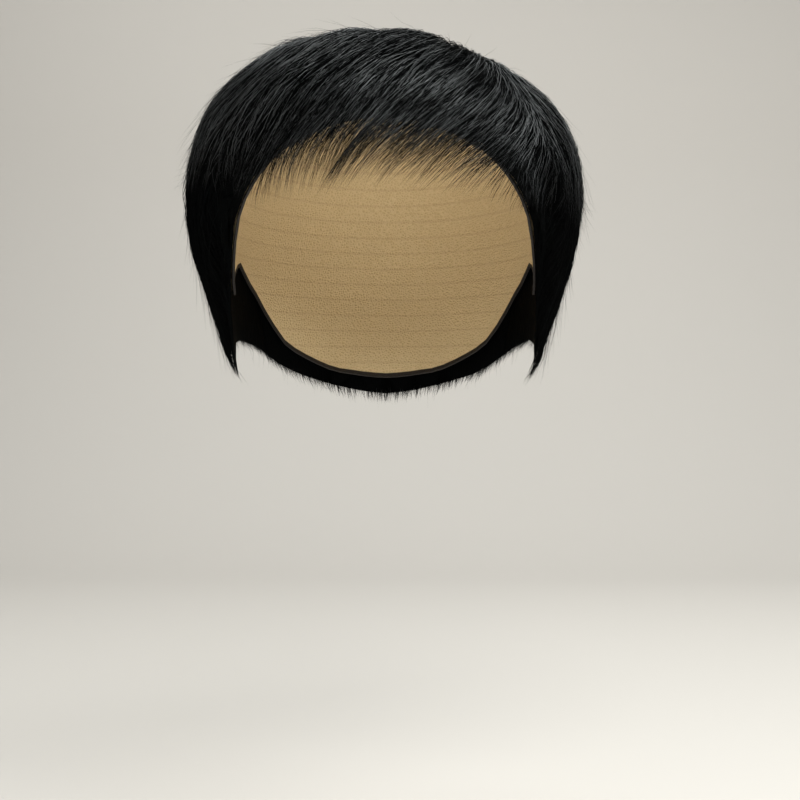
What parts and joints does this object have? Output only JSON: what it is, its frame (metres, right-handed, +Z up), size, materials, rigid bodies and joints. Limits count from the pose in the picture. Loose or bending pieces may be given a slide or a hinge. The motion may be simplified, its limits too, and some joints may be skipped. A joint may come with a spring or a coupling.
{
  "type": "real hair wig",
  "caption": "Short black hair wig with a side parting, a thinned fringe swept over the forehead, pointed sideburns and a tapered nape, on a hollow head cap.",
  "frame": {"origin": "inside of the cap's crown, where the top of the head sits", "axes": "+Z up, front of the head towards -Y, the wearer's left towards +X"},
  "size_m": [0.2039, 0.2127, 0.1929],
  "materials": {
    "cap": "matt knitted net",
    "hair": "satin black strands"
  },
  "bodies": {
    "root": {"cap": "cap", "top_hair": "hair", "fringe": "hair", "parted_hair": "hair", "left_side_hair": "hair", "right_side_hair": "hair", "back_hair": "hair"}
  },
  "joints": []
}
